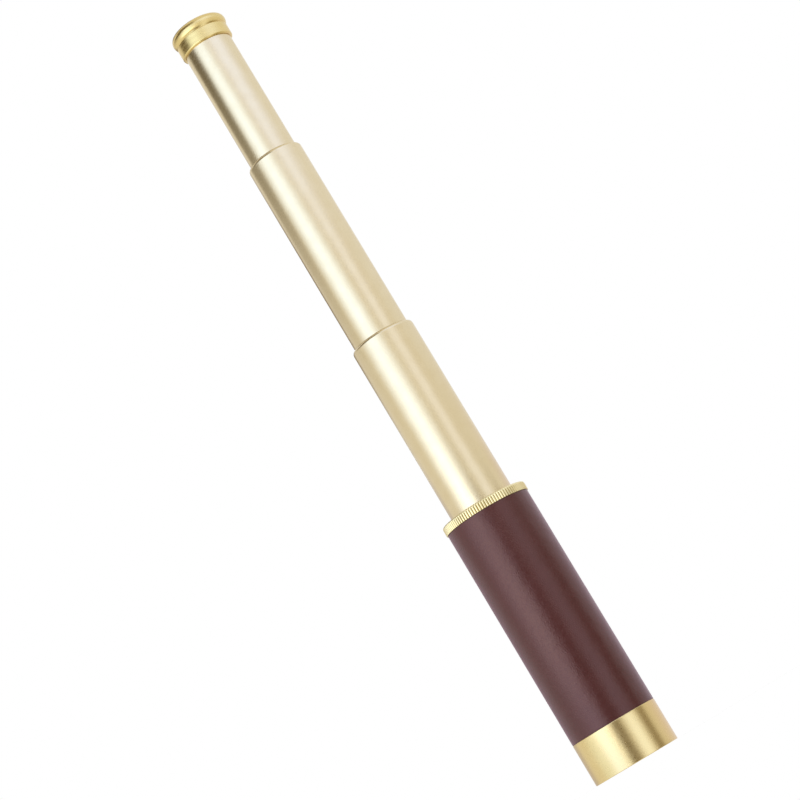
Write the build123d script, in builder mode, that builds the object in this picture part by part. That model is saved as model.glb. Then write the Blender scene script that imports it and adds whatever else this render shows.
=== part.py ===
from build123d import *

import os
from math import copysign, sqrt

# A hand-held collapsible brass telescope, drawn out to its full length: a leather-covered barrel with the
# objective at its front, and three draw tubes that slide into one another, the last with the eyepiece.
# The origin is the centre of the objective bezel's front rim and +Z runs along the optical axis to the eye,
# so the telescope stands on its bezel. All sizes are in millimetres.

# Objective bezel: the turned brass ring at the front of the barrel, which holds the objective lens.
bezel_radius = 20.0
bezel_length = 19.5
bezel_edge = 0.35
rim_recess_radius = 17.0
rim_recess_depth = 4.0
objective_aperture = 15.0
aperture_lip = 1.5
lens_seat_radius = 16.05
retainer_bore = 16.5
socket_floor = 14.5

# Lenses: a surface's curve is its radius of curvature, above 0 where the centre lies towards the eye, below 0
# where it lies towards the front, and 0 where the surface is flat.
# Objective: a cemented doublet of a crown and a flint lens.
objective_radius = 16.0
crown_front_curve = 170.0
cemented_curve = -125.0
flint_rear_curve = -550.0
crown_thickness = 4.6
flint_thickness = 2.4
cement_gap = 0.01
seat_gap = 0.02

# Barrel: a drawn tube with a leather cover glued on between the bezel and the knurled collar.
barrel_radius = 19.0
barrel_bore = 17.8
cover_radius = 19.95
cover_start = 19.55
cover_end = 123.75
glue_line = 0.02
seam_width = 0.6
seam_depth = 0.35

# Knurled collar: the brass ring at the barrel's mouth, with a spigot that screws into the barrel tube.
collar_radius = 20.45
collar_start = 123.8
collar_end = 127.8
collar_top_round = 0.8
collar_low_edge = 0.2
collar_mouth_edge = 0.4
spigot_front = 115.0
flute_count = 100
flute_depth = 0.35
flute_width = 0.9

# Draw tubes: outside radius of each, and the height of its rolled lip when the telescope is drawn out.
draw_radii = (15.05, 13.25, 11.45)
lip_tops = (215.2, 311.35)
draw_wall = 0.7
lip_round = 1.7
running_gap = 0.05
groove_depth = 0.5
groove_width = 1.7
bead_run = 0.8

# Slide rings: split nylon rings that turn in a rolled groove near each draw tube's front end, run in the
# bore of the tube outside, and stop the draw against that tube's lip.
slide_ring_length = 9.0
slide_ring_round = 0.9
slide_ring_split = 2.0
turning_gap = 0.04
stop_gap = 0.08
rib_width = 1.6
rib_offset = 1.6
tube_overhang = 2.0

# Erector: two like lenses in a cell inside the smallest draw tube, which turn the image upright.
cell_fit_gap = 0.05
erector_length = 28.4
erector_radius = 8.5
erector_bore = 8.55
erector_aperture = 7.5
erector_lip = 1.5
erector_curve = 31.0
erector_thickness = 4.4
erector_spacing = 17.0
erector_ring_bore = 7.3
erector_stop = 3.0
stop_plate = 1.0

# Eyepiece: a field lens and an eye lens in a sleeve at the rear of the smallest draw tube.
sleeve_front = 348.0
sleeve_rear = 376.9
sleeve_bore = 9.05
sleeve_lip = 1.5
sleeve_aperture = 8.2
field_radius = 9.0
field_curve = -22.0
field_edge = 1.6
eyepiece_spacer_bore = 7.9
eyepiece_spacer_rear = 376.0
field_stop = 5.0
field_stop_height = 362.5
eye_shoulder_front = 367.5
eye_shoulder_rear = 369.0
eye_shoulder_bore = 5.8
eye_radius = 6.5
eye_seat_radius = 6.55
eye_curve = 13.0
eye_edge = 1.8
eye_ring_bore = 5.5

# Retaining rings: the threaded rings that hold the lenses, each with two notches for a spanner.
retainer_length = 2.4
retainer_overlap = 0.4
notch_width = 2.0
notch_depth = 0.9

# Eyepiece cap: a turned brass cap over the end of the smallest draw tube, with a round bead at its rim.
cap_front = 371.55
cap_band_radius = 12.65
cap_band_end = 377.3
cap_low_edge = 0.8
cap_neck_radius = 12.35
cap_neck_height = 377.45
bead_radius = 13.47
bead_height = 380.25
bead_low_round = 3.72
bead_top_round = 2.95
bead_inner_run = 4.0
bead_start_angle = -45.65
bead_inner_angle = 35.0
eye_hole_radius = 5.0
eye_hole_rear = 381.53
eye_hole_front = 380.3
eye_flare_radius = 6.5
cap_shoulder = 377.1

os.makedirs("parts", exist_ok=True)


def sag(curve, radius):
    """How far a lens surface lies behind its apex at a distance from the axis."""
    return curve and curve - copysign(sqrt(curve**2 - radius**2), curve)


def draw_surface(apex, curve, radius):
    """Half outline of one lens surface, from its apex on the axis to its edge."""
    edge = (radius, apex + sag(curve, radius))
    if curve:
        return ThreePointArc((0, apex), (radius / 2, apex + sag(curve, radius / 2)), edge)
    return Line((0, apex), edge)


def turn_lens(name, radius, front, front_curve, rear, rear_curve):
    """A round lens from its front apex to its rear apex."""
    with BuildPart() as lens:
        with BuildSketch(Plane.XZ):
            with BuildLine():
                front_line = draw_surface(front, front_curve, radius)
                rear_line = draw_surface(rear, rear_curve, radius)
                Line(front_line @ 0, rear_line @ 0)
                Line(front_line @ 1, rear_line @ 1)
            make_face()
        revolve(axis=Axis.Z)
    lens.part.label = name
    export_step(lens.part, f"parts/{name}.step")


def turn_retainer(name, radius, bore, front):
    """A threaded retaining ring with two spanner notches in its rear face."""
    with BuildPart() as ring:
        with BuildSketch(Plane.XY.offset(front)):
            Circle(radius)
            Circle(bore, mode=Mode.SUBTRACT)
        extrude(amount=retainer_length)
        with BuildSketch(Plane.XY.offset(front + retainer_length)):
            Rectangle(3 * radius, notch_width)
        extrude(amount=-notch_depth, mode=Mode.SUBTRACT)
    ring.part.label = name
    export_step(ring.part, f"parts/{name}.step")


# Objective bezel: recess, aperture lip, lens seat, thread for the retaining ring, socket for the barrel tube.
lip_rear = rim_recess_depth + aperture_lip
crown_front = lip_rear - sag(crown_front_curve, objective_aperture) + seat_gap
crown_rear = crown_front + crown_thickness
flint_front = crown_rear + cement_gap
flint_rear = flint_front + flint_thickness
retainer_inner = objective_aperture - retainer_overlap
retainer_front = flint_rear + sag(flint_rear_curve, retainer_inner) + seat_gap
socket_radius = barrel_radius + glue_line

with BuildPart() as objective_bezel:
    with BuildSketch(Plane.XZ):
        with BuildLine():
            Polyline(
                (bezel_radius, 0),
                (bezel_radius, bezel_length),
                (socket_radius, bezel_length),
                (socket_radius, socket_floor),
                (retainer_bore, socket_floor),
                (retainer_bore, retainer_front),
                (lens_seat_radius, retainer_front),
                (lens_seat_radius, lip_rear),
                (objective_aperture, lip_rear),
                (objective_aperture, rim_recess_depth),
                (rim_recess_radius, rim_recess_depth),
                (rim_recess_radius, 0),
                close=True,
            )
        make_face()
        chamfer(vertices().group_by(Axis.X)[-1], length=bezel_edge)
    revolve(axis=Axis.Z)
objective_bezel.part.label = "objective_bezel"
export_step(objective_bezel.part, "parts/objective_bezel.step")

# Objective doublet: a crown lens and a flint lens that meet at the cemented surface.
turn_lens(
    "objective_crown_lens",
    objective_radius,
    crown_front,
    crown_front_curve,
    crown_rear,
    cemented_curve,
)
turn_lens(
    "objective_flint_lens",
    objective_radius,
    flint_front,
    cemented_curve,
    flint_rear,
    flint_rear_curve,
)
turn_retainer("objective_retaining_ring", retainer_bore - cell_fit_gap, retainer_inner, retainer_front)

# Barrel tube: plain drawn tube, seated in the bezel's socket and against the collar's flange.
with BuildPart() as barrel_tube:
    with BuildSketch(Plane.XY.offset(socket_floor)):
        Circle(barrel_radius)
        Circle(barrel_bore, mode=Mode.SUBTRACT)
    extrude(amount=collar_start - socket_floor)
barrel_tube.part.label = "barrel_tube"
export_step(barrel_tube.part, "parts/barrel_tube.step")

# Barrel cover: one rectangle of leather wrapped round the tube, its edges meeting in a seam at the back.
with BuildPart() as leather_wrap:
    with BuildSketch(Plane.XY.offset(cover_start)):
        Circle(cover_radius)
        Circle(barrel_radius + glue_line, mode=Mode.SUBTRACT)
        with BuildLine():
            Polyline(
                (-seam_width / 2, cover_radius + seam_depth),
                (0, cover_radius - seam_depth),
                (seam_width / 2, cover_radius + seam_depth),
                close=True,
            )
        make_face(mode=Mode.SUBTRACT)
    extrude(amount=cover_end - cover_start)
leather_wrap.part.label = "leather_wrap"
export_step(leather_wrap.part, "parts/leather_wrap.step")

# Knurled collar: a flange with straight flutes all round, its top edge rounded, on a spigot whose bore
# guides the largest draw tube and whose front end stops it.
with BuildPart() as knurled_collar:
    collar_bore = draw_radii[0] + running_gap
    spigot_radius = barrel_bore - glue_line
    with BuildSketch(Plane.XZ):
        with BuildLine():
            Polyline(
                (collar_bore, spigot_front),
                (spigot_radius, spigot_front),
                (spigot_radius, collar_start),
                (collar_radius - collar_low_edge, collar_start),
                (collar_radius, collar_start + collar_low_edge),
                (collar_radius, collar_end),
                (collar_bore + collar_mouth_edge, collar_end),
                (collar_bore, collar_end - collar_mouth_edge),
                close=True,
            )
        make_face()
        fillet(vertices().group_by(Axis.X)[-1].sort_by(Axis.Y)[-1], radius=collar_top_round)
    revolve(axis=Axis.Z)
    with BuildSketch(Plane.XY.offset(collar_start)):
        with PolarLocations(collar_radius, flute_count):
            Polygon(
                (-flute_depth, 0),
                (flute_depth, -flute_width),
                (flute_depth, flute_width),
                align=None,
            )
    extrude(amount=collar_end - collar_start, mode=Mode.SUBTRACT)
knurled_collar.part.label = "knurled_collar"
export_step(knurled_collar.part, "parts/knurled_collar.step")

# Draws: each has a thin drawn tube with a rolled groove near its front end, and a split nylon slide ring
# with a rib in that groove. The two larger tubes end in a rolled-in lip that the next tube slides through.
outer_bores = (barrel_bore,) + tuple(radius - draw_wall for radius in draw_radii[:2])
stops = (spigot_front,) + tuple(top - draw_wall for top in lip_tops)
tube_ends = lip_tops + (sleeve_rear,)

for index, radius in enumerate(draw_radii):
    number = index + 1
    bore = radius - draw_wall
    ring_rear = stops[index] - stop_gap
    ring_front = ring_rear - slide_ring_length
    tube_front = ring_front - tube_overhang
    tube_end = tube_ends[index]
    groove_middle = ring_front + rib_offset + rib_width / 2
    groove_low = groove_middle - groove_width / 2
    groove_high = groove_middle + groove_width / 2
    floor = radius - groove_depth
    bead = bore - groove_depth

    if number < len(draw_radii):
        hole = draw_radii[number] + running_gap
        lip_inside = tube_end - draw_wall
        mouth = [(radius, tube_end), (hole, tube_end), (hole, lip_inside), (bore, lip_inside)]
    else:
        mouth = [(radius, tube_end), (bore, tube_end)]

    with BuildPart() as draw_tube:
        with BuildSketch(Plane.XZ):
            with BuildLine():
                Polyline(
                    (radius, tube_front),
                    (radius, groove_low),
                    (floor, groove_low),
                    (floor, groove_high),
                    (radius, groove_high),
                    *mouth,
                    (bore, groove_high + bead_run),
                    (bead, groove_high),
                    (bead, groove_low),
                    (bore, groove_low - bead_run),
                    (bore, tube_front),
                    close=True,
                )
            make_face()
            if number < len(draw_radii):
                outer_corner = vertices().sort_by_distance(mouth[0])[0]
                fillet(outer_corner, radius=lip_round)
                inner_corner = vertices().sort_by_distance(mouth[-1])[0]
                fillet(inner_corner, radius=lip_round - draw_wall)
        revolve(axis=Axis.Z)
    draw_tube.part.label = f"draw_tube_{number}"
    export_step(draw_tube.part, f"parts/draw_tube_{number}.step")

    with BuildPart() as slide_ring:
        ring_radius = outer_bores[index] - running_gap
        ring_bore = radius + turning_gap
        rib_bore = floor + running_gap
        rib_low = groove_middle - rib_width / 2
        rib_high = groove_middle + rib_width / 2
        with BuildSketch(Plane.XZ):
            with BuildLine():
                Polyline(
                    (ring_radius, ring_front),
                    (ring_radius, ring_rear),
                    (ring_bore, ring_rear),
                    (ring_bore, rib_high),
                    (rib_bore, rib_high),
                    (rib_bore, rib_low),
                    (ring_bore, rib_low),
                    (ring_bore, ring_front),
                    close=True,
                )
            make_face()
            fillet(vertices().sort_by_distance((ring_radius, ring_rear))[0], radius=slide_ring_round)
        revolve(axis=Axis.Z)
        with BuildSketch(Plane.XY.offset(ring_front)):
            with Locations((ring_radius, 0)):
                Rectangle(ring_radius, slide_ring_split)
        extrude(amount=slide_ring_length, mode=Mode.SUBTRACT)
    slide_ring.part.label = f"slide_ring_{number}"
    export_step(slide_ring.part, f"parts/slide_ring_{number}.step")

# Erector cell: a blackened tube against the rolled groove of the smallest draw tube, open at its rear.
cell_radius = bore - cell_fit_gap
cell_front = groove_high + bead_run + cell_fit_gap
cell_rear = cell_front + erector_length
cell_lip_rear = cell_front + erector_lip

with BuildPart() as erector_cell:
    with BuildSketch(Plane.XZ):
        with BuildLine():
            Polyline(
                (erector_aperture, cell_front),
                (cell_radius, cell_front),
                (cell_radius, cell_rear),
                (erector_bore, cell_rear),
                (erector_bore, cell_lip_rear),
                (erector_aperture, cell_lip_rear),
                close=True,
            )
        make_face()
    revolve(axis=Axis.Z)
erector_cell.part.label = "erector_cell"
export_step(erector_cell.part, "parts/erector_cell.step")

# Erector lenses: two equal double-convex lenses, held apart by a spacer with the aperture stop in it.
first_front = cell_lip_rear - sag(erector_curve, erector_aperture) + seat_gap
first_rear = first_front + erector_thickness
second_front = first_rear + erector_spacing
second_rear = second_front + erector_thickness
ring_sag = sag(erector_curve, erector_ring_bore)

for name, front, rear in (
    ("erector_front_lens", first_front, first_rear),
    ("erector_rear_lens", second_front, second_rear),
):
    turn_lens(name, erector_radius, front, erector_curve, rear, -erector_curve)

with BuildPart() as erector_spacer:
    spacer_front = first_rear - ring_sag + seat_gap
    spacer_rear = second_front + ring_sag - seat_gap
    stop_front = (spacer_front + spacer_rear - stop_plate) / 2
    with BuildSketch(Plane.XZ):
        with BuildLine():
            Polyline(
                (erector_radius, spacer_front),
                (erector_radius, spacer_rear),
                (erector_ring_bore, spacer_rear),
                (erector_ring_bore, stop_front + stop_plate),
                (erector_stop, stop_front + stop_plate),
                (erector_stop, stop_front),
                (erector_ring_bore, stop_front),
                (erector_ring_bore, spacer_front),
                close=True,
            )
        make_face()
    revolve(axis=Axis.Z)
erector_spacer.part.label = "erector_spacer"
export_step(erector_spacer.part, "parts/erector_spacer.step")

turn_retainer("erector_retaining_ring", erector_radius, erector_ring_bore, second_rear - ring_sag + seat_gap)

# Eyepiece sleeve: a blackened tube in the rear end of the smallest draw tube, with a lip at its front.
with BuildPart() as eyepiece_sleeve:
    with BuildSketch(Plane.XZ):
        with BuildLine():
            Polyline(
                (sleeve_aperture, sleeve_front),
                (cell_radius, sleeve_front),
                (cell_radius, sleeve_rear),
                (sleeve_bore, sleeve_rear),
                (sleeve_bore, sleeve_front + sleeve_lip),
                (sleeve_aperture, sleeve_front + sleeve_lip),
                close=True,
            )
        make_face()
    revolve(axis=Axis.Z)
eyepiece_sleeve.part.label = "eyepiece_sleeve"
export_step(eyepiece_sleeve.part, "parts/eyepiece_sleeve.step")

# Eyepiece lenses: a field lens, flat at its front, and an eye lens, flat at its rear.
field_front = sleeve_front + sleeve_lip + seat_gap
field_rear = field_front + field_edge - sag(field_curve, field_radius)
eye_front = eye_shoulder_rear - sag(eye_curve, eye_shoulder_bore) + seat_gap
eye_rear = eye_front + sag(eye_curve, eye_radius) + eye_edge

turn_lens("field_lens", field_radius, field_front, 0, field_rear, field_curve)
turn_lens("eye_lens", eye_radius, eye_front, eye_curve, eye_rear, 0)

# Eyepiece spacer: keeps the two lenses apart, with the field stop between them and the eye lens's seat.
with BuildPart() as eyepiece_spacer:
    spacer_front = field_rear + sag(field_curve, eyepiece_spacer_bore) + seat_gap
    with BuildSketch(Plane.XZ):
        with BuildLine():
            Polyline(
                (field_radius, spacer_front),
                (field_radius, eyepiece_spacer_rear),
                (eye_seat_radius, eyepiece_spacer_rear),
                (eye_seat_radius, eye_shoulder_rear),
                (eye_shoulder_bore, eye_shoulder_rear),
                (eye_shoulder_bore, eye_shoulder_front),
                (eyepiece_spacer_bore, eye_shoulder_front),
                (eyepiece_spacer_bore, field_stop_height + stop_plate),
                (field_stop, field_stop_height + stop_plate),
                (field_stop, field_stop_height),
                (eyepiece_spacer_bore, field_stop_height),
                (eyepiece_spacer_bore, spacer_front),
                close=True,
            )
        make_face()
    revolve(axis=Axis.Z)
eyepiece_spacer.part.label = "eyepiece_spacer"
export_step(eyepiece_spacer.part, "parts/eyepiece_spacer.step")

turn_retainer("eye_lens_retaining_ring", eye_radius, eye_ring_bore, eye_rear + seat_gap)

# Eyepiece cap: a band that fits over the draw tube's end, a round bead, and a dished face with the eye hole.
with BuildPart() as eyepiece_cap:
    cap_bore = draw_radii[2] + cell_fit_gap
    with BuildSketch(Plane.XZ):
        with BuildLine():
            bead_low = CenterArc(
                (bead_radius - bead_low_round, bead_height),
                bead_low_round,
                bead_start_angle,
                -bead_start_angle,
            )
            top_centre = (bead_radius - bead_top_round, bead_height)
            CenterArc(top_centre, bead_top_round, 0, 90)
            bead_inside = EllipticalCenterArc(
                top_centre,
                bead_inner_run,
                bead_top_round,
                start_angle=90,
                arc_size=bead_inner_angle,
            )
            low_round = CenterArc(
                (cap_band_radius - cap_low_edge, cap_front + cap_low_edge),
                cap_low_edge,
                -90,
                90,
            )
            Polyline(
                bead_inside @ 1,
                (eye_hole_radius, eye_hole_rear),
                (eye_hole_radius, eye_hole_front),
                (eye_flare_radius, cap_shoulder),
                (cap_bore, cap_shoulder),
                (cap_bore, cap_front),
                low_round @ 0,
            )
            Polyline(
                low_round @ 1,
                (cap_band_radius, cap_band_end),
                (cap_neck_radius, cap_neck_height),
                bead_low @ 0,
            )
        make_face()
    revolve(axis=Axis.Z)
eyepiece_cap.part.label = "eyepiece_cap"
export_step(eyepiece_cap.part, "parts/eyepiece_cap.step")
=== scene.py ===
from math import atan2, cos, hypot, pi, radians, sin, tau

import bmesh
import bpy
from mathutils import Matrix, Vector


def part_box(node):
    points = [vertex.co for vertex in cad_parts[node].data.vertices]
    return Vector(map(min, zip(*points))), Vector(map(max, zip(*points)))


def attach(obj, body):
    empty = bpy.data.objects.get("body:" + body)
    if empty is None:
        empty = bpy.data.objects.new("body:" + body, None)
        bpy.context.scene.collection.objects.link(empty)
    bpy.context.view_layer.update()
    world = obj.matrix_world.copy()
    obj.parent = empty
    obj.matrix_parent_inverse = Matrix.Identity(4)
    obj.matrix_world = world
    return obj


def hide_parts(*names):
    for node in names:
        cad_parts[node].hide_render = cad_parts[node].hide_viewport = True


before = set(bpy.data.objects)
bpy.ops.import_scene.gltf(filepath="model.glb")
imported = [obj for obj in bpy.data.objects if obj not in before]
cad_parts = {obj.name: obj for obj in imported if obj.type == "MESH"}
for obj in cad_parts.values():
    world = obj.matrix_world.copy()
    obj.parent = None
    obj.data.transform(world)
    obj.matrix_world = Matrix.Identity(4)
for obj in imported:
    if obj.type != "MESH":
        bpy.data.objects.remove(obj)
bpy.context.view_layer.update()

# Objective bezel: the ring at the front of the barrel, turned from brass bar, blasted to a fine satin and
# lacquered. It screws over the end of the barrel tube and holds the objective behind a shallow recess.
mm = 0.001
bezel_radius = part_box("objective_bezel")[1].x
bezel_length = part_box("objective_bezel")[1].z
bezel_edge = 0.35 * mm
rear_bevel_run = 0.5 * mm
rear_bevel_drop = 0.12 * mm
rear_bevel_edge = 0.08 * mm
recess_radius = 17.0 * mm
recess_depth = 4.0 * mm
aperture_radius = 15.0 * mm
lens_seat_radius = 16.05 * mm
lens_seat_front = 5.5 * mm
retainer_bore = 16.5 * mm
retainer_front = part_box("objective_retaining_ring")[0].z
socket_radius = 19.02 * mm
socket_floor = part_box("barrel_tube")[0].z
inner_edge = 0.15 * mm
turning_steps = 192
edge_steps = 4
sharp_corner = radians(30)
merge_distance = 0.001 * mm


def close_outline(mesh, corners):
    """Joins the corners of a profile, in order, into one closed wire."""
    for start, end in zip(corners, corners[1:] + corners[:1]):
        mesh.edges.new((start, end))


def round_corners(mesh, corners, radius):
    """Rounds corners of a profile to a radius."""
    bmesh.ops.bevel(
        mesh,
        geom=corners,
        offset=radius,
        offset_type="OFFSET",
        affect="VERTICES",
        segments=edge_steps,
        profile=0.5,
        material=-1,
    )


def turn(mesh, steps=turning_steps):
    """Spins a profile in the XZ plane once round the axis, and closes the skin that it leaves."""
    bmesh.ops.spin(
        mesh,
        geom=mesh.verts[:] + mesh.edges[:],
        cent=(0, 0, 0),
        axis=(0, 0, 1),
        angle=tau,
        steps=steps,
        use_merge=True,
    )
    bmesh.ops.remove_doubles(mesh, verts=mesh.verts[:], dist=merge_distance)
    bmesh.ops.recalc_face_normals(mesh, faces=mesh.faces[:])


def finish_piece(name, mesh, material, body, slot, *nodes):
    """Makes a piece of a mesh: smooth faces with true flats, on its body, in place of its CAD nodes."""
    data = bpy.data.meshes.new(name)
    mesh.to_mesh(data)
    mesh.free()
    data.shade_smooth()
    data.set_sharp_from_angle(angle=sharp_corner)
    data.materials.append(material)
    piece = bpy.data.objects.new(name, data)
    bpy.context.scene.collection.objects.link(piece)
    flats = piece.modifiers.new("flats", "WEIGHTED_NORMAL")
    flats.keep_sharp = True
    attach(piece, body)
    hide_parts(*nodes)
    return piece


def linear(code):
    """The linear colour of an sRGB hex value."""
    parts = [int(code[place : place + 2], 16) / 255 for place in (1, 3, 5)]
    return [part / 12.92 if part <= 0.04045 else ((part + 0.055) / 1.055) ** 2.4 for part in parts] + [1.0]


def add_node(tree, kind, inputs=None, **settings):
    """Adds a shader node with its settings; each input is a value or the output that it is linked to."""
    node = tree.nodes.new("ShaderNode" + kind)
    for name, value in settings.items():
        setattr(node, name, value)
    for socket, value in (inputs or {}).items():
        if isinstance(value, bpy.types.NodeSocket):
            tree.links.new(value, node.inputs[socket])
        else:
            node.inputs[socket].default_value = value
    return node


def start_material(name):
    """An empty node material."""
    material = bpy.data.materials.new(name)
    material.use_nodes = True
    material.node_tree.nodes.clear()
    return material


# Brass, blasted and lacquered: warm yellow metal whose fine grit breaks up the edges of every reflection.
# The grit is about 0.1 mm; it is drawn at 0.7 mm, because a finer one doesn't show in the picture.
brass_grit = 0.7 * mm
brass_grit_height = 0.009 * mm
brass_cloud = 14.0 * mm
satin_brass = start_material("brass_blasted_lacquered")
tree = satin_brass.node_tree
place = add_node(tree, "TexCoord").outputs["Object"]
grit = add_node(tree, "TexNoise", {"Vector": place, "Scale": 1 / brass_grit, "Detail": 3.0})
cloud = add_node(tree, "TexNoise", {"Vector": place, "Scale": 1 / brass_cloud, "Detail": 2.0})
tone = add_node(tree, "ValToRGB", {"Fac": cloud.outputs["Fac"]})
tone.color_ramp.elements[0].color = linear("#D7BE82")
tone.color_ramp.elements[1].color = linear("#DDC790")
gloss = add_node(
    tree, "MapRange", {"Value": grit.outputs["Fac"], "To Min": 0.255, "To Max": 0.305}
)
bump = add_node(
    tree, "Bump", {"Height": grit.outputs["Fac"], "Strength": 1.0, "Distance": brass_grit_height}
)
shader = add_node(
    tree,
    "BsdfPrincipled",
    {
        "Base Color": tone.outputs["Color"],
        "Metallic": 1.0,
        "Roughness": gloss.outputs["Result"],
        "Normal": bump.outputs["Normal"],
    },
)
add_node(tree, "OutputMaterial", {"Surface": shader.outputs["BSDF"]})

profile = bmesh.new()
corners = [
    profile.verts.new((radius, 0, height))
    for radius, height in (
        (bezel_radius, 0),
        (bezel_radius, bezel_length - rear_bevel_run),
        (bezel_radius - rear_bevel_drop, bezel_length),
        (socket_radius, bezel_length),
        (socket_radius, socket_floor),
        (retainer_bore, socket_floor),
        (retainer_bore, retainer_front),
        (lens_seat_radius, retainer_front),
        (lens_seat_radius, lens_seat_front),
        (aperture_radius, lens_seat_front),
        (aperture_radius, recess_depth),
        (recess_radius, recess_depth),
        (recess_radius, 0),
    )
]
close_outline(profile, corners)
rim_outside, rear_corner = corners[0], corners[2]
rim_inside, aperture_corner = corners[12], corners[10]
round_corners(profile, [rim_outside], bezel_edge)
round_corners(profile, [rear_corner], rear_bevel_edge)
round_corners(profile, [rim_inside, aperture_corner], inner_edge)
turn(profile)
finish_piece("bezel_ring", profile, satin_brass, "barrel", "satin_brass", "objective_bezel")

# Objective: a crown and a flint lens cemented together, ground and polished from optical glass, with an
# anti-reflection coating, held in the bezel by a threaded ring.
glass_smear = 6.0 * mm


def dress(material, *nodes):
    """Gives CAD nodes a material in place of their plain one."""
    for node in nodes:
        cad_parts[node].data.materials.clear()
        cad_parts[node].data.materials.append(material)


# Optical glass, polished and coated: clear, with the faint colour of its coating and a trace of wiping.
coated_glass = start_material("optical_glass_coated")
tree = coated_glass.node_tree
place = add_node(tree, "TexCoord").outputs["Object"]
smear = add_node(tree, "TexNoise", {"Vector": place, "Scale": 1 / glass_smear, "Detail": 4.0})
gloss = add_node(
    tree, "MapRange", {"Value": smear.outputs["Fac"], "To Min": 0.0, "To Max": 0.03}
)
shader = add_node(
    tree,
    "BsdfPrincipled",
    {
        "Base Color": linear("#F4FAF6"),
        "Roughness": gloss.outputs["Result"],
        "IOR": 1.52,
        "Transmission Weight": 1.0,
        "Thin Film Thickness": 120.0,
        "Thin Film IOR": 1.38,
    },
)
add_node(tree, "OutputMaterial", {"Surface": shader.outputs["BSDF"]})
dress(
    coated_glass,
    "objective_crown_lens",
    "objective_flint_lens",
    "erector_front_lens",
    "erector_rear_lens",
    "field_lens",
    "eye_lens",
)

# Barrel tube, cells, spacers and retaining rings: turned aluminium, black anodised so that no stray light
# gets through. They screw or push into each other and hold the lenses.
black_speck = 0.8 * mm

# Aluminium, turned and black anodised: a matte near-black, slightly speckled where the etch before the
# anodising bit unevenly.
black_anodised = start_material("aluminium_turned_black_anodised")
tree = black_anodised.node_tree
place = add_node(tree, "TexCoord").outputs["Object"]
speck = add_node(tree, "TexNoise", {"Vector": place, "Scale": 1 / black_speck, "Detail": 3.0})
tone = add_node(tree, "ValToRGB", {"Fac": speck.outputs["Fac"]})
tone.color_ramp.elements[0].color = linear("#141415")
tone.color_ramp.elements[1].color = linear("#232325")
gloss = add_node(
    tree, "MapRange", {"Value": speck.outputs["Fac"], "To Min": 0.5, "To Max": 0.7}
)
shader = add_node(
    tree,
    "BsdfPrincipled",
    {"Base Color": tone.outputs["Color"], "Roughness": gloss.outputs["Result"]},
)
add_node(tree, "OutputMaterial", {"Surface": shader.outputs["BSDF"]})
dress(
    black_anodised,
    "barrel_tube",
    "objective_retaining_ring",
    "erector_cell",
    "erector_spacer",
    "erector_retaining_ring",
    "eyepiece_sleeve",
    "eyepiece_spacer",
    "eye_lens_retaining_ring",
)

# Barrel cover: one piece of smooth wine-brown leather, skived at its edges and glued round the barrel tube,
# with a butt seam along the back.
cover_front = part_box("leather_wrap")[0].z
cover_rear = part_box("leather_wrap")[1].z
cover_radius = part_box("leather_wrap")[1].x
cover_edge = 0.12 * mm
cover_steps = 384
seam_depth = 0.35 * mm
seam_angle = radians(90)
leather_pore = 0.9 * mm
leather_pore_depth = 0.09 * mm
leather_cloud = 9.0 * mm
leather_swell = 6.0 * mm
leather_swell_height = 0.16 * mm

# Leather, dyed and polished: a dark wine red under a soft satin sheen, with fine creases and pores, and
# uneven enough that the edges of its reflections waver. The pores are about 0.3 mm and are drawn three
# times as coarse, because finer ones don't show.
dyed_leather = start_material("leather_dyed_polished")
tree = dyed_leather.node_tree
place = add_node(tree, "TexCoord").outputs["Object"]
pores = add_node(
    tree, "TexVoronoi", {"Vector": place, "Scale": 1 / leather_pore}, feature="DISTANCE_TO_EDGE"
)
cloud = add_node(tree, "TexNoise", {"Vector": place, "Scale": 1 / leather_cloud, "Detail": 4.0})
tone = add_node(tree, "ValToRGB", {"Fac": cloud.outputs["Fac"]})
tone.color_ramp.elements[0].color = linear("#401517")
tone.color_ramp.elements[1].color = linear("#481A1C")
gloss = add_node(
    tree, "MapRange", {"Value": cloud.outputs["Fac"], "To Min": 0.26, "To Max": 0.34}
)
swell = add_node(tree, "TexNoise", {"Vector": place, "Scale": 1 / leather_swell, "Detail": 1.0})
uneven = add_node(
    tree, "Bump", {"Height": swell.outputs["Fac"], "Strength": 1.0, "Distance": leather_swell_height}
)
bump = add_node(
    tree,
    "Bump",
    {
        "Height": pores.outputs["Distance"],
        "Strength": 1.0,
        "Distance": leather_pore_depth,
        "Normal": uneven.outputs["Normal"],
    },
)
shader = add_node(
    tree,
    "BsdfPrincipled",
    {
        "Base Color": tone.outputs["Color"],
        "Roughness": gloss.outputs["Result"],
        "Specular IOR Level": 0.66,
        "Specular Tint": linear("#FFDFCE"),
        "Sheen Weight": 0.15,
        "Sheen Roughness": 0.4,
        "Sheen Tint": linear("#F064B4"),
        "Normal": bump.outputs["Normal"],
    },
)
add_node(tree, "OutputMaterial", {"Surface": shader.outputs["BSDF"]})

profile = bmesh.new()
corners = [
    profile.verts.new((radius, 0, height))
    for radius, height in (
        (cover_radius, cover_front),
        (cover_radius, cover_rear),
        (socket_radius, cover_rear),
        (socket_radius, cover_front),
    )
]
close_outline(profile, corners)
round_corners(profile, corners[:2], cover_edge)
turn(profile, cover_steps)
for vert in profile.verts:
    at_seam = abs(atan2(vert.co.y, vert.co.x) - seam_angle) < pi / cover_steps
    if at_seam and hypot(vert.co.x, vert.co.y) > cover_radius - cover_edge:
        vert.co.y -= seam_depth
finish_piece("barrel_cover", profile, dyed_leather, "barrel", "barrel_leather", "leather_wrap")

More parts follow.
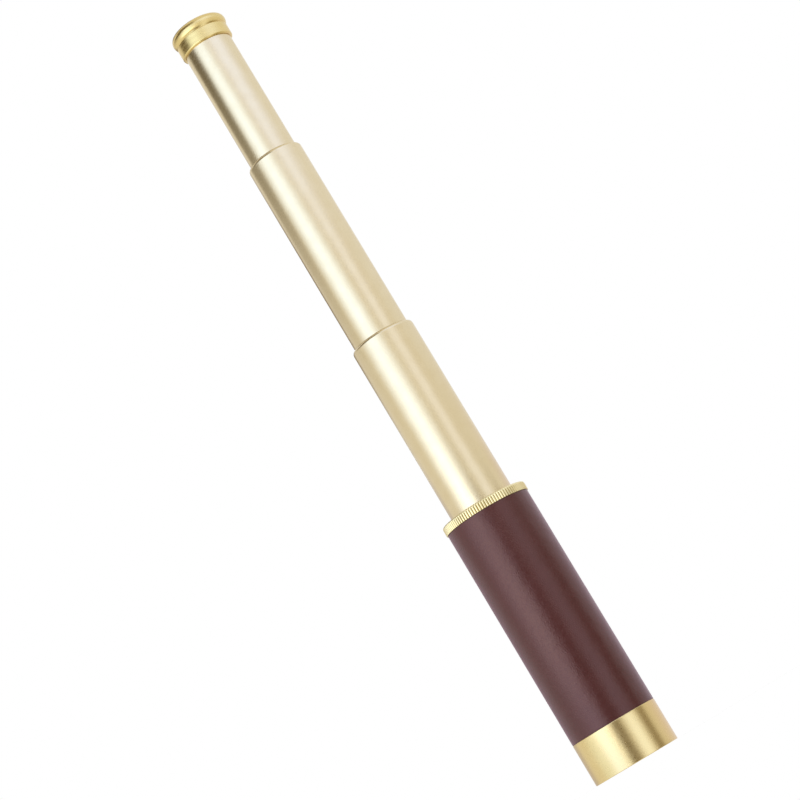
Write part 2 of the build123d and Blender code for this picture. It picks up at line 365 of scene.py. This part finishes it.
# Knurled collar: the brass ring at the barrel's mouth, turned and knurled with straight flutes, that screws
# into the barrel tube and guides the largest draw tube.
collar_bore = 15.1 * mm
collar_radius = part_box("knurled_collar")[1].x
collar_gap = 0.05 * mm
collar_front = cover_rear + collar_gap
collar_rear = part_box("knurled_collar")[1].z
spigot_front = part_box("knurled_collar")[0].z
spigot_radius = 17.78 * mm
collar_low_edge = 0.2 * mm
collar_top_round = 0.8 * mm
collar_mouth_edge = 0.4 * mm
flute_count = 100
flute_steps = 8
flute_depth = 0.35 * mm
flute_width = 0.9 * mm
# Painted shade in the flutes: full below the first depth, gone above the second.
flute_shade_full_depth = 0.32 * mm
flute_shade_end_depth = 0.14 * mm

# Brass, turned and knurled: bright, with a light lacquer and fine tool marks round the axis. The floors of
# the flutes are painted a darker olive brass, as painted shade in the hollows. The tool marks are about
# 0.3 mm apart and are drawn at 3 mm, because finer ones don't show. A wave texture repeats every pi / 10 at
# a scale of 1.
tool_mark = 3.14 * mm
wave_repeat = pi / 10
knurled_brass = start_material("brass_knurled_lacquered")
tree = knurled_brass.node_tree
place = add_node(tree, "TexCoord").outputs["Object"]
marks = add_node(
    tree,
    "TexWave",
    {"Vector": place, "Scale": wave_repeat / tool_mark, "Distortion": 1.0},
    bands_direction="Z",
)
cloud = add_node(tree, "TexNoise", {"Vector": place, "Scale": 1 / brass_cloud, "Detail": 2.0})
tone = add_node(tree, "ValToRGB", {"Fac": cloud.outputs["Fac"]})
tone.color_ramp.elements[0].color = linear("#DCCA94")
tone.color_ramp.elements[1].color = linear("#E4D4A2")
flat_place = add_node(tree, "VectorMath", {0: place, 1: (1, 1, 0)}, operation="MULTIPLY")
off_axis = add_node(tree, "VectorMath", {0: flat_place.outputs[0]}, operation="LENGTH")
# Painted shade: the flute floors, below the top rounding, are mixed towards a darker olive brass.
in_flute = add_node(
    tree,
    "MapRange",
    {
        "Value": off_axis.outputs["Value"],
        "From Min": collar_radius - flute_shade_full_depth,
        "From Max": collar_radius - flute_shade_end_depth,
        "To Min": 1.0,
        "To Max": 0.0,
    },
)
height = add_node(tree, "SeparateXYZ", {0: place})
below_round = add_node(
    tree, "Math", {0: height.outputs["Z"], 1: collar_rear - collar_top_round}, operation="LESS_THAN"
)
painted_flute_shade = add_node(tree, "Math", {0: in_flute.outputs[0], 1: below_round.outputs[0]}, operation="MULTIPLY")
shade = add_node(
    tree,
    "Mix",
    {"Factor": painted_flute_shade.outputs[0], "A": tone.outputs["Color"], "B": linear("#9A8850")},
    data_type="RGBA",
)
gloss = add_node(
    tree, "MapRange", {"Value": marks.outputs["Fac"], "To Min": 0.16, "To Max": 0.24}
)
shader = add_node(
    tree,
    "BsdfPrincipled",
    {"Base Color": shade.outputs["Result"], "Metallic": 1.0, "Roughness": gloss.outputs["Result"]},
)
add_node(tree, "OutputMaterial", {"Surface": shader.outputs["BSDF"]})

profile = bmesh.new()
corners = [
    profile.verts.new((radius, 0, height))
    for radius, height in (
        (collar_bore, spigot_front),
        (spigot_radius, spigot_front),
        (spigot_radius, collar_front),
        (collar_radius, collar_front),
        (collar_radius, collar_rear),
        (collar_bore, collar_rear),
    )
]
close_outline(profile, corners)
low_corner, top_corner, mouth_corner = corners[3:]
round_corners(profile, [low_corner], collar_low_edge)
round_corners(profile, [top_corner], collar_top_round)
round_corners(profile, [mouth_corner], collar_mouth_edge)
turn(profile, flute_count * flute_steps)
flute_pitch = tau / flute_count
for vert in profile.verts:
    radius = hypot(vert.co.x, vert.co.y)
    angle = atan2(vert.co.y, vert.co.x)
    across = abs(angle - flute_pitch * round(angle / flute_pitch)) * collar_radius
    out_of_round = (radius - collar_radius + collar_top_round) / collar_top_round
    if out_of_round > 0 and across < flute_width / 2:
        cut = flute_depth * (1 + cos(tau * across / flute_width)) / 2
        vert.co.xy *= 1 - cut * min(1, out_of_round) / radius
finish_piece("collar_ring", profile, knurled_brass, "barrel", "turned_brass", "knurled_collar")

# Slide rings: split rings of moulded natural nylon, one in a groove near each draw tube's front end, that
# guide the tube in the bore outside it.
nylon_flow = 3.0 * mm

# Nylon, moulded and left undyed: a milky off-white with a soft gloss and faint flow marks from the mould.
natural_nylon = start_material("nylon_moulded_natural")
tree = natural_nylon.node_tree
place = add_node(tree, "TexCoord").outputs["Object"]
flow = add_node(tree, "TexNoise", {"Vector": place, "Scale": 1 / nylon_flow, "Detail": 2.0})
tone = add_node(tree, "ValToRGB", {"Fac": flow.outputs["Fac"]})
tone.color_ramp.elements[0].color = linear("#DCD7C8")
tone.color_ramp.elements[1].color = linear("#E8E4D8")
shader = add_node(
    tree,
    "BsdfPrincipled",
    {"Base Color": tone.outputs["Color"], "Roughness": 0.45, "IOR": 1.53},
)
add_node(tree, "OutputMaterial", {"Surface": shader.outputs["BSDF"]})
dress(natural_nylon, "slide_ring_1", "slide_ring_2", "slide_ring_3")

# Draw tubes: three thin drawn tubes of aluminium, satin finished and anodised a pale champagne gold. Each
# has a rolled groove near its front end, and the two larger ones end in a lip rolled in round the next one.
draw_wall = 0.7 * mm
lip_round = 1.7 * mm
lip_edge = 0.1 * mm
running_gap = 0.05 * mm
groove_depth = 0.5 * mm
groove_width = 1.7 * mm
groove_middle_height = 4.4 * mm
bead_run = 0.8 * mm

# Aluminium, satin finished and anodised: a pale gold metal with a soft grain that blurs every reflection, a
# little paler in patches. The grain is about 0.1 mm and is drawn at 0.7 mm so that it shows.
satin_grain = 0.7 * mm
satin_grain_height = 0.027 * mm
satin_cloud = 5.0 * mm
anodised_gold = start_material("aluminium_satin_anodised")
tree = anodised_gold.node_tree
place = add_node(tree, "TexCoord").outputs["Object"]
grain = add_node(tree, "TexNoise", {"Vector": place, "Scale": 1 / satin_grain, "Detail": 3.0})
cloud = add_node(tree, "TexNoise", {"Vector": place, "Scale": 1 / satin_cloud, "Detail": 2.0})
tone = add_node(tree, "ValToRGB", {"Fac": cloud.outputs["Fac"]})
tone.color_ramp.elements[0].color = linear("#D4C197")
tone.color_ramp.elements[1].color = linear("#DAC9A2")
gloss = add_node(
    tree, "MapRange", {"Value": grain.outputs["Fac"], "To Min": 0.20, "To Max": 0.28}
)
bump = add_node(
    tree, "Bump", {"Height": grain.outputs["Fac"], "Strength": 1.0, "Distance": satin_grain_height}
)
shader = add_node(
    tree,
    "BsdfPrincipled",
    {
        "Base Color": tone.outputs["Color"],
        "Metallic": 1.0,
        "Roughness": gloss.outputs["Result"],
        "Normal": bump.outputs["Normal"],
    },
)
add_node(tree, "OutputMaterial", {"Surface": shader.outputs["BSDF"]})

draw_nodes = ("draw_tube_1", "draw_tube_2", "draw_tube_3")
for number, node in enumerate(draw_nodes, 1):
    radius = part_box(node)[1].x
    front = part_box(node)[0].z
    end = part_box(node)[1].z
    bore = radius - draw_wall
    groove_low = front + groove_middle_height - groove_width / 2
    groove_high = groove_low + groove_width
    outline = [
        (radius, front),
        (radius, groove_low),
        (radius - groove_depth, groove_low),
        (radius - groove_depth, groove_high),
        (radius, groove_high),
        (radius, end),
        (bore, end),
        (bore, groove_high + bead_run),
        (bore - groove_depth, groove_high),
        (bore - groove_depth, groove_low),
        (bore, groove_low - bead_run),
        (bore, front),
    ]
    has_lip = number < len(draw_nodes)
    if has_lip:
        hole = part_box(draw_nodes[number])[1].x + running_gap
        outline[6:7] = [(hole, end), (hole, end - draw_wall), (bore, end - draw_wall)]
    profile = bmesh.new()
    corners = [profile.verts.new((radius, 0, height)) for radius, height in outline]
    close_outline(profile, corners)
    if has_lip:
        outer_corner, hole_rear, hole_front, inner_corner = corners[5:9]
        round_corners(profile, [outer_corner], lip_round)
        round_corners(profile, [hole_rear, hole_front], lip_edge)
        round_corners(profile, [inner_corner], lip_round - draw_wall)
    turn(profile)
    body = f"draw_{number}"
    finish_piece(f"{body}_tube", profile, anodised_gold, body, "champagne_aluminium", node)

# Eyepiece cap: turned from brass bar and polished, with a round bead at its rim and the eye hole in a
# dished face. It screws over the end of the smallest draw tube.
cap_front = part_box("eyepiece_cap")[0].z
cap_band_radius = 12.65 * mm
cap_band_end = cap_front + 5.75 * mm
cap_low_edge = 0.8 * mm
cap_neck_radius = 12.35 * mm
cap_neck_height = cap_front + 5.9 * mm
cap_bore = 11.5 * mm
cap_shoulder = cap_front + 5.55 * mm
bead_radius = 13.47 * mm
bead_height = cap_front + 8.7 * mm
bead_low_round = 3.72 * mm
bead_top_round = 2.95 * mm
bead_inner_run = 4.0 * mm
bead_start = radians(-45.65)
bead_top = radians(90)
bead_end = radians(125)
bead_steps = 36
eye_hole_radius = 5.0 * mm
eye_hole_rear = cap_front + 9.98 * mm
eye_hole_front = cap_front + 8.75 * mm
eye_flare_radius = 6.5 * mm

# Brass, turned and polished: yellower and clearer than the satin parts, with fine polishing lines round the
# axis. They are about 0.1 mm apart and are drawn at 2.2 mm, because finer ones don't show.
polish_line = 2.2 * mm
polished_brass = start_material("brass_polished_lacquered")
tree = polished_brass.node_tree
place = add_node(tree, "TexCoord").outputs["Object"]
lines = add_node(
    tree,
    "TexWave",
    {"Vector": place, "Scale": wave_repeat / polish_line, "Distortion": 2.0},
    bands_direction="Z",
)
cloud = add_node(tree, "TexNoise", {"Vector": place, "Scale": 1 / brass_cloud, "Detail": 2.0})
tone = add_node(tree, "ValToRGB", {"Fac": cloud.outputs["Fac"]})
tone.color_ramp.elements[0].color = linear("#D4BB76")
tone.color_ramp.elements[1].color = linear("#DBC384")
gloss = add_node(
    tree, "MapRange", {"Value": lines.outputs["Fac"], "To Min": 0.24, "To Max": 0.3}
)
shader = add_node(
    tree,
    "BsdfPrincipled",
    {"Base Color": tone.outputs["Color"], "Metallic": 1.0, "Roughness": gloss.outputs["Result"]},
)
add_node(tree, "OutputMaterial", {"Surface": shader.outputs["BSDF"]})

profile = bmesh.new()
outline = []
for step in range(bead_steps + 1):
    angle = bead_start + (bead_end - bead_start) * step / bead_steps
    rise = bead_low_round if angle < 0 else bead_top_round
    run = bead_inner_run if angle > bead_top else rise
    outline.append((bead_radius - rise + run * cos(angle), bead_height + rise * sin(angle)))
outline += [
    (eye_hole_radius, eye_hole_rear),
    (eye_hole_radius, eye_hole_front),
    (eye_flare_radius, cap_shoulder),
    (cap_bore, cap_shoulder),
    (cap_bore, cap_front),
    (cap_band_radius, cap_front),
    (cap_band_radius, cap_band_end),
    (cap_neck_radius, cap_neck_height),
]
corners = [profile.verts.new((radius, 0, height)) for radius, height in outline]
close_outline(profile, corners)
low_corner, eye_hole_corner = corners[-3], corners[-8]
round_corners(profile, [low_corner], cap_low_edge)
round_corners(profile, [eye_hole_corner], inner_edge)
turn(profile)
finish_piece("eyepiece_ring", profile, polished_brass, "draw_3", "polished_brass", "eyepiece_cap")

# Floor: a plain pale table top that the telescope stands on. It keeps the telescope's shadow, and further
# out it fades to the white of the studio. Metal sees the white studio and the boards in place of it.
floor_size = 8.0
floor_glow = 0.17
fade_start = 0.25
fade_end = 0.6


def background_seen(tree):
    """One for what the camera, metal and glass see, and nought for the light on matte surfaces."""
    ray = add_node(tree, "LightPath").outputs
    seen = ray["Is Camera Ray"]
    for kind in ("Is Glossy Ray", "Is Transmission Ray"):
        seen = add_node(tree, "Math", {0: seen, 1: ray[kind]}, operation="MAXIMUM").outputs[0]
    return seen


# Painted board, matte: a pale grey without any gloss, that shows only the soft shadow.
pale_floor = start_material("floor_pale_matte")
tree = pale_floor.node_tree
seen = background_seen(tree)
glow = add_node(tree, "Math", {0: seen, 1: floor_glow}, operation="MULTIPLY")
near = add_node(
    tree,
    "BsdfPrincipled",
    {
        "Base Color": linear("#E6E6E6"),
        "Roughness": 0.9,
        "Specular IOR Level": 0.0,
        "Emission Color": (1, 1, 1, 1),
        "Emission Strength": glow.outputs[0],
    },
)
far = add_node(tree, "Emission", {"Color": (1, 1, 1, 1), "Strength": 1.0})
away = add_node(tree, "VectorMath", {0: add_node(tree, "TexCoord").outputs["Object"]}, operation="LENGTH")
fade = add_node(
    tree,
    "MapRange",
    {"Value": away.outputs["Value"], "From Min": fade_start, "From Max": fade_end},
    interpolation_type="SMOOTHSTEP",
)
fade = add_node(tree, "Math", {0: fade.outputs[0], 1: seen}, operation="MULTIPLY")
both = add_node(
    tree, "MixShader", {0: fade.outputs[0], 1: near.outputs["BSDF"], 2: far.outputs["Emission"]}
)
add_node(tree, "OutputMaterial", {"Surface": both.outputs["Shader"]})
floor_mesh = bmesh.new()
bmesh.ops.create_grid(floor_mesh, x_segments=1, y_segments=1, size=floor_size / 2)
floor_data = bpy.data.meshes.new("floor")
floor_mesh.to_mesh(floor_data)
floor_mesh.free()
floor_data.materials.append(pale_floor)
floor = bpy.data.objects.new("floor", floor_data)
bpy.context.scene.collection.objects.link(floor)
floor.visible_glossy = False

# World: a white studio. What the camera, metal and glass see of it is plain white, and it fills in the
# shadows a little less strongly.
fill_strength = 0.85
world = bpy.data.worlds.new("white_studio")
world.use_nodes = True
world.node_tree.nodes.clear()
world.cycles.sampling_method = "NONE"
tree = world.node_tree
seen = background_seen(tree)
level = add_node(tree, "MapRange", {"Value": seen, "To Min": fill_strength, "To Max": 1.0})
background = add_node(
    tree, "Background", {"Color": (1, 1, 1, 1), "Strength": level.outputs["Result"]}
)
add_node(tree, "OutputWorld", {"Surface": background.outputs["Background"]})
bpy.context.scene.world = world

# Studio lamps: one large softbox to the left of the camera and a weaker one to its right, both upright and
# facing the telescope. They light the matte surfaces and throw the shadow. In the metal, the boards below
# stand for them.
for name, azimuth, distance, width, height, radiance in (
    ("softbox_left", -34.0, 0.8, 0.8, 0.8, 1.0),
    ("softbox_right", 45.0, 0.8, 0.5, 0.8, 0.5),
):
    lamp = bpy.data.lights.new(name, "AREA")
    lamp.shape = "RECTANGLE"
    lamp.size = width
    lamp.size_y = height
    lamp.energy = radiance * pi * width * height
    light = bpy.data.objects.new(name, lamp)
    light.matrix_world = (
        Matrix.Rotation(radians(azimuth), 4, "Z")
        @ Matrix.Translation((0, -distance, height / 2))
        @ Matrix.Rotation(radians(90), 4, "X")
    )
    light.visible_camera = False
    light.visible_glossy = False
    bpy.context.scene.collection.objects.link(light)

# Boards: curved white, tinted and dark boards round the telescope that only reflections see. Each fades out
# towards its sides and its lower and upper edge, as a cloth-covered light or a card out of focus does.
board_step = radians(3)

# A row gives a board's radius, its turn from the camera's side in degrees, at the floor and for each metre
# of height, how far to each side it is full and how far it reaches, also in degrees, the heights at which
# it begins, is full, starts to fade and ends, and its colour and strength.
for (
    name,
    radius,
    turn_at_floor,
    turn_per_metre,
    core,
    reach,
    low,
    low_full,
    high_full,
    high,
    colour,
    strength,
) in (
    ("board_left", 0.82, -40, 13, 4, 52, -0.14, -0.02, 0.73, 0.87, "#C8DAFF", 2.75),
    ("board_left_low", 0.81, -42.5, 52, 0, 46, -0.08, 0.05, 0.19, 0.235, "#EEEEF4", 4.1),
    ("board_foot_left", 0.28, -52, 0, 20, 48, -0.3, -0.2, 0.03, 0.05, "#E4F0FF", 1.46),
    ("board_foot_core", 0.275, -38, 0, 4, 27, -0.3, -0.2, 0.03, 0.05, "#C2D4FF", 2.75),
    ("board_right", 0.84, 40, 0, 4, 22, -0.6, -0.5, 1.0, 1.2, "#E0E5F6", 1.65),
    ("board_foot_right", 0.28, 40, 0, 4, 20, -0.3, -0.2, 0.03, 0.05, "#DAE6FF", 2.15),
    ("board_high", 0.80, 45, 0, 4, 64, 0.43, 0.62, 1.0, 1.3, "#CCD8FF", 2.15),
    ("board_rear_left", 0.80, -152, 0, 12, 28, -0.3, -0.2, 0.22, 0.3, "#FFF9FF", 0.71),
    ("board_rear_right", 0.80, 152, 0, 26, 55, -0.3, -0.2, 0.22, 0.3, "#FCF6FF", 1.0),
    ("board_side_right", 0.83, 108, 0, 14, 34, 0.3, 0.4, 1.0, 1.2, "#F1F5FF", 1.19),
    ("board_dark_low", 0.84, 95, 0, 12, 40, -1.6, -1.4, -0.12, -0.02, "#FFF0D0", 0.55),
    ("board_dark_front", 0.30, 3.2, 0, 4.0, 23.5, -0.3, -0.2, 0.13, 0.18, "#FFE0A0", 0.2),
    ("board_dark_right", 0.30, 74.2, 0, 5.5, 17, -0.3, -0.2, 0.13, 0.17, "#FFE8BC", 0.32),
    ("board_dark_left", 0.78, -151.5, 95, 22, 31, 0.30, 0.72, 1.4, 1.5, "#FFD65D", 0.09),
    ("board_dark_back", 0.78, -160, 0, 8, 22, 0.26, 0.40, 0.46, 0.62, "#FFE8C8", 0.3),
    ("board_dark_rear", 0.77, -165, 0, 12, 35, 0.76, 0.90, 1.3, 1.6, "#FFDE90", 0.12),
    ("board_dark_high", 0.76, -50, 0, 38, 62, 0.80, 0.92, 2.0, 2.2, "#FFE4B0", 0.25),
):
    board = start_material(name + "_cloth")
    tree = board.node_tree
    place = add_node(tree, "SeparateXYZ", {0: add_node(tree, "TexCoord").outputs["Object"]})
    depth = add_node(tree, "Math", {0: place.outputs["Y"], 1: -1.0}, operation="MULTIPLY")
    angle = add_node(tree, "Math", {0: place.outputs["X"], 1: depth.outputs[0]}, operation="ARCTAN2")
    lean = add_node(tree, "Math", {0: place.outputs["Z"], 1: radians(turn_per_metre)}, operation="MULTIPLY")
    angle = add_node(tree, "Math", {0: angle.outputs[0], 1: lean.outputs[0]}, operation="SUBTRACT")
    angle = add_node(tree, "Math", {0: angle.outputs[0], 1: radians(turn_at_floor)}, operation="SUBTRACT")
    angle = add_node(tree, "Math", {0: angle.outputs[0]}, operation="ABSOLUTE")
    cover = 1.0
    for value, full, gone in (
        (angle.outputs[0], radians(core), radians(reach)),
        (place.outputs["Z"], low_full, low),
        (place.outputs["Z"], high_full, high),
    ):
        fade = add_node(
            tree,
            "MapRange",
            {"Value": value, "From Min": full, "From Max": gone, "To Min": 1.0, "To Max": 0.0},
            interpolation_type="SMOOTHSTEP",
        )
        cover = add_node(tree, "Math", {0: cover, 1: fade.outputs[0]}, operation="MULTIPLY").outputs[0]
    clear = add_node(tree, "BsdfTransparent")
    face = add_node(tree, "Emission", {"Color": linear(colour), "Strength": strength})
    both = add_node(tree, "MixShader", {0: cover, 1: clear.outputs["BSDF"], 2: face.outputs["Emission"]})
    add_node(tree, "OutputMaterial", {"Surface": both.outputs["Shader"]})
    turns = [radians(turn_at_floor + turn_per_metre * height) for height in (low, high)]
    first = min(turns) - radians(reach)
    last = max(turns) + radians(reach)
    board_mesh = bmesh.new()
    side = (radius * sin(first), -radius * cos(first))
    edge = [board_mesh.verts.new((*side, height)) for height in (low, high)]
    board_mesh.edges.new(edge)
    bmesh.ops.spin(
        board_mesh,
        geom=board_mesh.verts[:] + board_mesh.edges[:],
        cent=(0, 0, 0),
        axis=(0, 0, 1),
        angle=last - first,
        steps=round((last - first) / board_step),
    )
    board_data = bpy.data.meshes.new(name)
    board_mesh.to_mesh(board_data)
    board_mesh.free()
    board_data.materials.append(board)
    stand = bpy.data.objects.new(name, board_data)
    bpy.context.scene.collection.objects.link(stand)
    for ray_kind in ("camera", "diffuse", "transmission", "shadow"):
        setattr(stand, "visible_" + ray_kind, False)

# Camera: level with the bezel and looking up along the telescope, rolled so that the tube runs from the
# upper left to the lower right of the picture.
camera_place = (0, -0.9792, 0.00005)
camera_yaw = radians(0.432)
camera_pitch = radians(10.788)
camera_roll = radians(-30.903)
focal_length = 102.17
camera_data = bpy.data.cameras.new("camera")
camera_data.sensor_width = 36.0
camera_data.lens = focal_length
camera_data.clip_start = 0.01
camera = bpy.data.objects.new("camera", camera_data)
camera.matrix_world = (
    Matrix.Translation(camera_place)
    @ Matrix.Rotation(camera_yaw, 4, "Z")
    @ Matrix.Rotation(radians(90) + camera_pitch, 4, "X")
    @ Matrix.Rotation(camera_roll, 4, "Z")
)
bpy.context.scene.collection.objects.link(camera)
bpy.context.scene.camera = camera
bpy.context.scene.view_settings.view_transform = "Standard"

bpy.context.view_layer.update()
